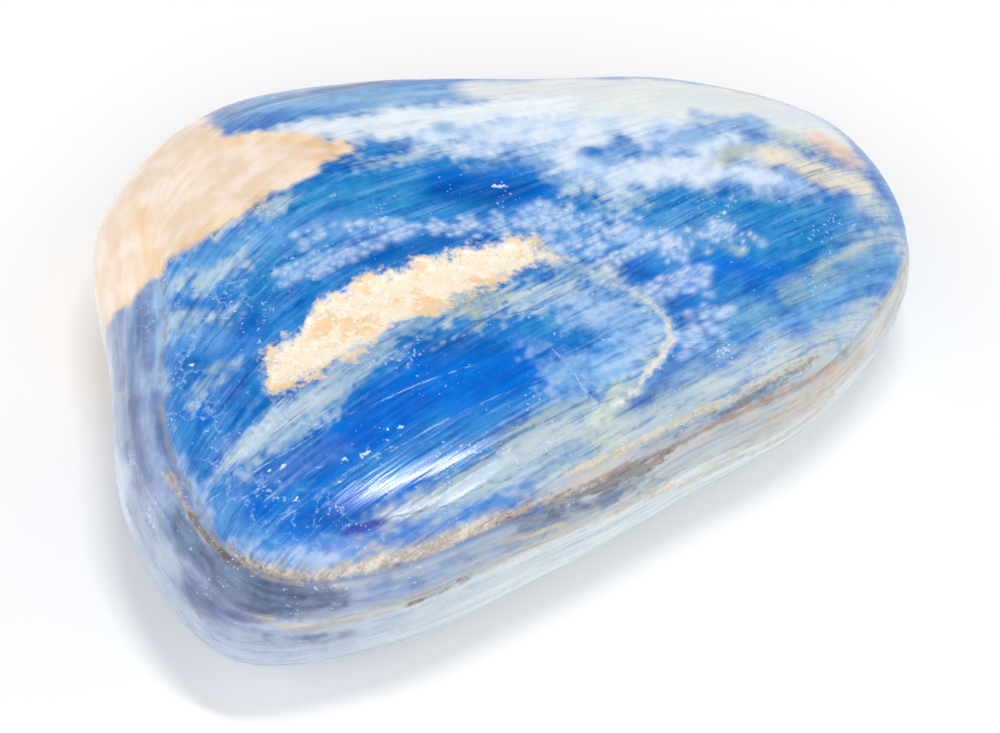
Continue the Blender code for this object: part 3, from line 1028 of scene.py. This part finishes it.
# %% The relief as a Geometry Nodes tree
def relief_tree():
    """Sinks ripples along the fibres and grains in the pocket into a surface."""
    tree = bpy.data.node_groups.new("worn_relief", "GeometryNodeTree")
    new = partial(add, tree)
    tree.interface.new_socket("Geometry", in_out="INPUT", socket_type="NodeSocketGeometry")
    for name, value in RELIEF.items():
        socket = tree.interface.new_socket(name, in_out="INPUT", socket_type="NodeSocketFloat")
        socket.default_value = value
    tree.interface.new_socket("Finish", in_out="INPUT", socket_type="NodeSocketMaterial")
    tree.interface.new_socket("Geometry", in_out="OUTPUT", socket_type="NodeSocketGeometry")
    given = tree.nodes.new("NodeGroupInput").outputs
    place = new("GeometryNodeInputPosition")
    in_mm = new("ShaderNodeVectorMath", {0: place, "Scale": 1 / MM}, operation="SCALE")
    along = {0: in_mm, "Scale": given["Ripples per mm Along"]}
    along = new("ShaderNodeVectorMath", along, operation="SCALE")
    fibre = new("GeometryNodeInputNamedAttribute", {"Name": "across"}, data_type="FLOAT")
    across = [fibre, given["Ripples per mm Across"]]
    across = new("ShaderNodeMath", across, operation="MULTIPLY")
    x = new("ShaderNodeSeparateXYZ", [along], out="X")
    y = new("ShaderNodeSeparateXYZ", [along], out="Y")
    streak = new("ShaderNodeCombineXYZ", [x, y, across])
    ripple = {"Vector": streak, "Scale": 1.0, "Detail": 2.0}
    ripple = new("ShaderNodeTexNoise", ripple, out="Fac")
    ripple = new("ShaderNodeMath", [ripple, given["Ripple Depth"]], operation="MULTIPLY")
    pocket = new("GeometryNodeInputNamedAttribute", {"Name": "pocket"}, data_type="FLOAT")
    pocket = new("ShaderNodeMapRange", [pocket, -0.2, 0.4], **STEP)
    grain = {"Vector": in_mm, "Scale": given["Grains per mm"]}
    grain = new("ShaderNodeTexNoise", grain, out="Fac")
    grain = new("ShaderNodeMath", [grain, pocket], operation="MULTIPLY")
    grain = new("ShaderNodeMath", [grain, given["Grain Depth"]], operation="MULTIPLY")
    sink = new("ShaderNodeMath", [ripple, grain], operation="ADD")
    height = new("ShaderNodeSeparateXYZ", [place], out="Z")
    above = new("ShaderNodeMath", [height, given["Base Height"]], operation="GREATER_THAN")
    sink = new("ShaderNodeMath", [sink, above], operation="MULTIPLY")
    inwards = new("ShaderNodeMath", [sink, -1.0], operation="MULTIPLY")
    normal = new("GeometryNodeInputNormal")
    offset = new("ShaderNodeVectorMath", {0: normal, "Scale": inwards}, operation="SCALE")
    worn = new("GeometryNodeSetPosition", {"Geometry": given["Geometry"], "Offset": offset})
    worn = new("GeometryNodeRealizeInstances", [worn])
    worn = new("GeometryNodeSetMaterial", {"Geometry": worn, "Material": given["Finish"]})
    end = tree.nodes.new("NodeGroupOutput")
    tree.links.new(worn, end.inputs["Geometry"])
    return tree


relief = relief_tree()
print("relief:", len(relief.nodes), "nodes")

# %% [markdown]
# ## The material
# Kyanite is a hard, glassy mineral. Tumbling gives it a soft polish that is uneven, because its
# blades wear unevenly, so its shine is broad and a little streaky. The soft colours come from
# the mesh. The material adds what is finer than the mesh: silky fibres, pale veins, sprays of
# grains, the edges of flakes, the crumbly pocket, the seams, and fine scratches. All of it
# could be one deep tree of noises, but then every ray of light would work out every colour
# again, so only the crisp marks are left to it.
#
# Each share below runs from 0 to 1 between its first two numbers. They are distances in mm
# where it starts from a field, and noise values where it starts from a noise. The noises lie
# round 0 and seldom pass 0.6 either way. The number behind a further noise is how much it counts.

# %% What the material reads
kyanite = bpy.data.materials.new("tumbled_kyanite")
kyanite.use_nodes = True
node = partial(add, kyanite.node_tree)
base = node("ShaderNodeAttribute", out="Color", attribute_name="ground_colour")
read = {}
for name in MATERIAL_READS:
    read[name] = node("ShaderNodeAttribute", out="Fac", attribute_name=name)
place = node("ShaderNodeTexCoord", out="Object")
in_mm = node("ShaderNodeVectorMath", {0: place, "Scale": 1 / MM}, operation="SCALE")
print("the material reads", len(read) + 1, "attributes")


# %% Noises, shares and coats
def grain(vector, settings):
    """Three independent noises of one grain size, each centred on 0."""
    made = node("ShaderNodeTexNoise", {"Vector": vector, **settings}, out="Color")
    centred = {0: made, 1: (2, 2, 2), 2: (-1, -1, -1)}
    centred = node("ShaderNodeVectorMath", centred, operation="MULTIPLY_ADD")
    return [node("ShaderNodeSeparateXYZ", [centred], out=axis) for axis in "XYZ"]


def share(low, high, first, *more):
    """From 0 to 1 while the first socket, plus weighted others, runs from low to high."""
    total = first
    for socket, weight in more:
        total = node("ShaderNodeMath", [socket, weight, total], operation="MULTIPLY_ADD")
    return node("ShaderNodeMapRange", [total, low, high], **STEP)


def coat(under, tint, cover, *shares):
    """Lays a tint over the colours under it, as strongly as its cover times its shares."""
    for one in shares:
        cover = node("ShaderNodeMath", [cover, one], operation="MULTIPLY")
    return node("ShaderNodeMix", {0: cover, 6: under, 7: tint}, out=2, data_type="RGBA")


for helper in (grain, share, coat):
    print(f"{helper.__name__}: {helper.__doc__}")

# %% Fibres, hairs, crumbs and grit
# Real kyanite fibres are a few hundredths of a millimetre across, too fine to show, so they are
# drawn 0.2 mm across, with hairs of 0.06 mm between them.
CRUMBS = {"Scale": 3.0, "Detail": 2.0, "Roughness": 0.7}
GRIT = {"Scale": 9.0, "Detail": 0.0}
FIBRES = {"Scale": 1.0, "Detail": 2.0, "Roughness": 0.6}
HAIRS = {"Scale": 3.3, "Detail": 0.0}
FIBRES_PER_MM = 4.5
CHANGES_ALONG = (0.35, 0.35, 0.0)

crumb = grain(in_mm, CRUMBS)
grit = grain(in_mm, GRIT)
drawn = node("ShaderNodeVectorMath", [in_mm, CHANGES_ALONG], operation="MULTIPLY")
sideways = node("ShaderNodeCombineXYZ", [0.0, 0.0, read["across"]])
sideways = {0: sideways, "Scale": FIBRES_PER_MM}
sideways = node("ShaderNodeVectorMath", sideways, operation="SCALE")
fibres = node("ShaderNodeVectorMath", [drawn, sideways], operation="ADD")
fibre = grain(fibres, FIBRES)
hair = node("ShaderNodeTexNoise", {"Vector": fibres, **HAIRS}, out="Fac")
print("noises in the material:", len(crumb + grit + fibre) + 1)

# %% Silky fibres, pale where they gather and deep in between
SILK_COVER = 0.32
DEEP_COVER = 0.7

pale = share(0.15, 0.75, fibre[0], (hair, 0.5), (crumb[2], 0.3))
base = coat(base, colour("#92C2F0"), SILK_COVER, pale, read["silk"])
deep = share(0.15, 0.75, fibre[1], (hair, 0.5), (crumb[0], 0.4))
deep = node("ShaderNodeMath", [deep, read["silk"]], operation="MULTIPLY")
deep = node("ShaderNodeMath", [deep, DEEP_COVER], operation="MULTIPLY")
deeper = {0: deep, 6: base, 7: colour("#74A8DA")}
base = node("ShaderNodeMix", deeper, out=2, data_type="RGBA", blend_type="MULTIPLY")
print("silk laid on")

# %% [markdown]
# ## Veins, sprays and crisp marks
# Near the rounded end the blade is cracked into crystals about 1 mm wide, and their edges show
# as pale veins. A Voronoi texture gives the distance to such edges, and crumbs bend it so that
# they don't run straight. Sprays are where crumbs and grit pass a level, and every crisp mark
# is a stroke's field, frayed by fibres and crumbs and cut off sharply.

# %% Veins between crystals, and the near sprays
CRYSTALS_PER_MM = 1.1
VEIN_WIDTH = 0.07
VEIN_BEND = 0.35

bent = node("ShaderNodeCombineXYZ", crumb)
bent = {0: bent, 1: (VEIN_BEND,) * 3, 2: in_mm}
bent = node("ShaderNodeVectorMath", bent, operation="MULTIPLY_ADD")
cells = {"Vector": bent, "Scale": CRYSTALS_PER_MM}
cells = node("ShaderNodeTexVoronoi", cells, out="Distance", feature="DISTANCE_TO_EDGE")
veins = share(VEIN_WIDTH, 0.0, cells)
cracked = share(-0.4, 0.6, read["crystals"], (read["cloud_noise"], 1.0))
base = coat(base, colour("#A4C8F0"), 0.6, veins, cracked, share(-0.3, 0.3, crumb[1]))
spray = share(0.3, 0.6, crumb[1], (read["spray_near"], 0.35), (grit[1], 0.4))
base = coat(base, colour("#C4DAF2"), 0.6, spray)
print(CRYSTALS_PER_MM, "crystals in each mm")

# %% The crisp marks, from the ground up
# Field, two colours, softness of the edge in mm, how far streaks and crumbs fray it in mm, and
# how strongly it covers.
CRISP_LAYERS = (
    ("scallop", "#C6CCD0", "#ECE4D6", 0.12, 0.1, 0.3, 0.8),
    ("flake", "#B8CEE0", "#E8EEF2", 0.2, 0.6, 0.3, 0.75),
    ("beige", "#A69E90", "#C6BAA6", 0.14, 0.35, 0.4, 0.7),
    ("cream_line", "#B6A88C", "#D8CAAC", 0.14, 0.5, 0.3, 0.7),
    ("sand", "#A89C90", "#D8CCBC", 0.22, 0.3, 0.35, 0.85),
    ("rust", "#8A6A50", "#BC9A78", 0.16, 0.5, 0.35, 0.7),
    # Painted shade along the lower edge of the ledges.
    ("seam_shade", "#4C4A4C", "#787470", 0.16, 0.5, 0.35, 0.75),
    ("ink", "#00188C", "#002EA4", 0.14, 0.15, 0.08, 0.9),
)

blend = share(-0.3, 0.3, fibre[2], (crumb[2], 0.6))
for name, first, second, soft, by_streaks, by_crumbs, cover in CRISP_LAYERS:
    tint = {0: blend, 6: colour(first), 7: colour(second)}
    tint = node("ShaderNodeMix", tint, out=2, data_type="RGBA")
    amount = share(-soft, soft, read[name], (fibre[0], by_streaks), (crumb[1], by_crumbs))
    base = coat(base, tint, cover, amount)
print(len(CRISP_LAYERS), "crisp layers")

# %% Grains in the pocket: cream, gold in clusters, white and brown in between
in_pocket = share(-0.3, 0.3, read["pocket"], (crumb[0], 0.6), (read["cloud_noise"], 0.5))
base = coat(base, colour("#F3E5CE"), 1.0, in_pocket)
gold = share(-0.2, 0.2, read["cloud_noise"], (crumb[1], 0.6), (read["pocket"], -0.35))
base = coat(base, colour("#EFC080"), 0.65, gold, in_pocket)
base = coat(base, colour("#FAF4EC"), 0.7, share(0.0, 0.4, crumb[2]), in_pocket)
base = coat(base, colour("#B89A70"), 0.22, share(0.24, 0.5, grit[0]), in_pocket)
print("pocket filled")

# %% [markdown]
# ## Seams, scratches and pits
# Grit gathers in the seams, which are grooves in the mesh already. A seam, a scratch and a
# crack are all lines where a signed distance crosses zero, so one rule draws them: the line's
# noise makes it wander, its distance without the sign gives it a width, and a last noise
# breaks it up.

# %% The seams: field, half its width in mm, colour
SEAMS = (("upper_seam", 0.07, "#958A7C"), ("lower_seam", 0.05, "#9A9286"))
SEAM_WANDER = 0.25

broken = share(-0.3, 0.2, crumb[0], (fibre[1], 0.6))
in_blue = share(0.0, 0.2, read["silk"])
for name, half, tint in SEAMS:
    wavy = [read["cloud_noise"], SEAM_WANDER, read[name]]
    wavy = node("ShaderNodeMath", wavy, operation="MULTIPLY_ADD")
    line = node("ShaderNodeMath", [wavy], operation="ABSOLUTE")
    line = share(half + 0.08, half - 0.03, line)
    base = coat(base, colour(tint), 0.55, line, broken, in_blue)
sandy = share(-0.1, 0.1, read["sand"])
base = coat(base, colour("#80746A"), 0.45, share(0.25, 0.55, grit[1]), sandy)
base = coat(base, colour("#EAE2D6"), 0.3, share(0.25, 0.55, grit[2]), sandy)
print(len(SEAMS), "seams")

# %% Scratches left white by the tumbling, and cracks dark with shadow
# Field, half its width in mm, colour, and how strongly it covers.
FINE_LINES = (("scratch", 0.012, "#BCD6F2", 0.5), ("crack", 0.02, "#2E5C9C", 0.6))
LINE_WANDER = 0.06

broken = share(-0.2, 0.3, fibre[2], (crumb[1], 0.8))
for name, half, tint, cover in FINE_LINES:
    wavy = [crumb[0], LINE_WANDER, read[name + "_side"]]
    wavy = node("ShaderNodeMath", wavy, operation="MULTIPLY_ADD")
    line = node("ShaderNodeMath", [wavy], operation="ABSOLUTE")
    reach = share(0.0, 0.12, read[name + "_reach"])
    base = coat(base, colour(tint), cover, share(half + 0.04, half, line), reach, broken)
print(len(FINE_LINES), "kinds of fine line")

# %% Pin-point pits and chips that the polish left white
pits = share(0.66, 0.84, grit[2], (crumb[2], 0.3), (read["cloud_noise"], 0.5))
base = coat(base, colour("#D2E4F6"), 0.5, pits)
chips = share(-0.03, 0.03, read["chips"], (grit[0], 0.1))
base = coat(base, colour("#E2ECF8"), 0.8, chips)
print("pits and chips")

# %% Polish: index of refraction, shine, roughness and grooves along the fibres
KYANITE_IOR = 1.72
SHINE = 0.3
POLISH_ROUGHNESS = 0.18
UNEVEN_POLISH = 0.1
ROUGHER_IN_POCKET = 0.25
GROOVES = {"Scale": 1.6, "Detail": 1.0}
GROOVE_DEPTH = 0.03 * MM
GROOVE_STRENGTH = 0.35

shader = kyanite.node_tree.nodes["Principled BSDF"]
shader.inputs["IOR"].default_value = KYANITE_IOR
shader.inputs["Specular IOR Level"].default_value = SHINE
rough = [fibre[0], UNEVEN_POLISH, POLISH_ROUGHNESS]
rough = node("ShaderNodeMath", rough, operation="MULTIPLY_ADD")
rough = [in_pocket, ROUGHER_IN_POCKET, rough]
rough = node("ShaderNodeMath", rough, operation="MULTIPLY_ADD")
grooves = node("ShaderNodeTexNoise", {"Vector": fibres, **GROOVES}, out="Fac")
bump = {"Height": grooves, "Strength": GROOVE_STRENGTH, "Distance": GROOVE_DEPTH}
bump = node("ShaderNodeBump", bump)
for name, socket in (("Base Color", base), ("Roughness", rough), ("Normal", bump)):
    kyanite.node_tree.links.new(socket, shader.inputs[name])
print("kyanite:", len(kyanite.node_tree.nodes), "nodes")

# %% Wear the stone, and make it a plain mesh
wear = stone.modifiers.new("worn_relief", "NODES")
wear.node_group = relief
for item in relief.interface.items_tree:
    if item.in_out == "INPUT" and item.name in RELIEF:
        wear[item.identifier] = RELIEF[item.name]
    if item.in_out == "INPUT" and item.name == "Finish":
        wear[item.identifier] = kyanite
evaluated = stone.evaluated_get(bpy.context.evaluated_depsgraph_get())
worn_mesh = bpy.data.meshes.new_from_object(evaluated)
stone.modifiers.remove(wear)
stone.data = worn_mesh
worn_mesh.name = "polished_kyanite"
worn_mesh.shade_smooth()
print("worn stone:", len(worn_mesh.vertices), "points,", len(worn_mesh.materials), "material")

# %% [markdown]
# ## Floor and light
# The photograph is a bright studio shot on white. The stone stands on white card in a light
# tent: a bright dome all round, dimmer near the table, with a round opening overhead. The flat
# top face mirrors the opening, so its blues stay deep, and a small lamp in the opening gives
# the one streak of shine on its front shoulder.

# %% Floor
FLOOR_HALF = 1.5
CARD_ROUGHNESS = 0.9
floor_mesh = bpy.data.meshes.new("floor")
corners = [(-1, -1), (1, -1), (1, 1), (-1, 1)]
places = [(side * FLOOR_HALF, deep * FLOOR_HALF, 0) for side, deep in corners]
floor_mesh.from_pydata(places, [], [(0, 1, 2, 3)])
floor = bpy.data.objects.new("floor", floor_mesh)
bpy.context.scene.collection.objects.link(floor)
card = bpy.data.materials.new("white_card")
card.use_nodes = True
card_shader = card.node_tree.nodes["Principled BSDF"]
card_shader.inputs["Base Color"].default_value = colour("#FAFAFA")
card_shader.inputs["Roughness"].default_value = CARD_ROUGHNESS
floor_mesh.materials.append(card)
print("floor:", 2 * FLOOR_HALF, "m square")

# %% The light tent
# Brightness of the dome overhead and at its foot, and the heights between which it changes.
# Then the opening's brightness, its tilt towards the back, its radius and its edge's softness.
TENT_STRENGTH = 1.5
TENT_FOOT = 0.95
FOOT_HEIGHTS = (0.05, 0.5)
OPENING_STRENGTH = 0.05
OPENING_TILT = math.radians(20)
OPENING_RADIUS = math.radians(44)
OPENING_EDGE = math.radians(6)

world = bpy.data.worlds.new("light_tent")
bpy.context.scene.world = world
world.use_nodes = True
tent = partial(add, world.node_tree)
direction = tent("ShaderNodeTexCoord", out="Generated")
upwards = tent("ShaderNodeSeparateXYZ", [direction], out="Z")
dome = tent("ShaderNodeMapRange", [upwards, *FOOT_HEIGHTS, TENT_FOOT, TENT_STRENGTH], **STEP)
axis = (0, math.sin(OPENING_TILT), math.cos(OPENING_TILT))
towards = tent("ShaderNodeVectorMath", [direction, axis], out="Value", operation="DOT_PRODUCT")
outer = math.cos(OPENING_RADIUS + OPENING_EDGE)
inner = math.cos(OPENING_RADIUS - OPENING_EDGE)
strength = tent("ShaderNodeMapRange", [towards, outer, inner, dome, OPENING_STRENGTH], **STEP)
sky = world.node_tree.nodes["Background"]
sky.inputs["Color"].default_value = (1, 1, 1, 1)
world.node_tree.links.new(strength, sky.inputs["Strength"])
print("tent brightness:", OPENING_STRENGTH, "in the opening,", TENT_STRENGTH, "round it")

# %% The lamp in the opening
# Its place and size in mm, its turn, and its power.
LAMP_PLACE = (30, 2, 300)
LAMP_SIZE = (100, 18)
LAMP_TURN = math.radians(-25)
LAMP_WATTS = 0.3

lamp_data = bpy.data.lights.new("overhead_lamp", "AREA")
lamp_data.shape = "RECTANGLE"
lamp_data.size, lamp_data.size_y = (side * MM for side in LAMP_SIZE)
lamp_data.energy = LAMP_WATTS
lamp = bpy.data.objects.new("overhead_lamp", lamp_data)
lamp.location = Vector(LAMP_PLACE) * MM
lamp.rotation_euler = (0, 0, LAMP_TURN)
bpy.context.scene.collection.objects.link(lamp)
print("lamp:", LAMP_WATTS, "W")

# %% Colours shown as they were given
bpy.context.scene.view_settings.view_transform = "Standard"
print("view transform:", bpy.context.scene.view_settings.view_transform)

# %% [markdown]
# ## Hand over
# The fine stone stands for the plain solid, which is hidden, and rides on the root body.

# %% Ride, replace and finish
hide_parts(STONE)
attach(stone, "root")
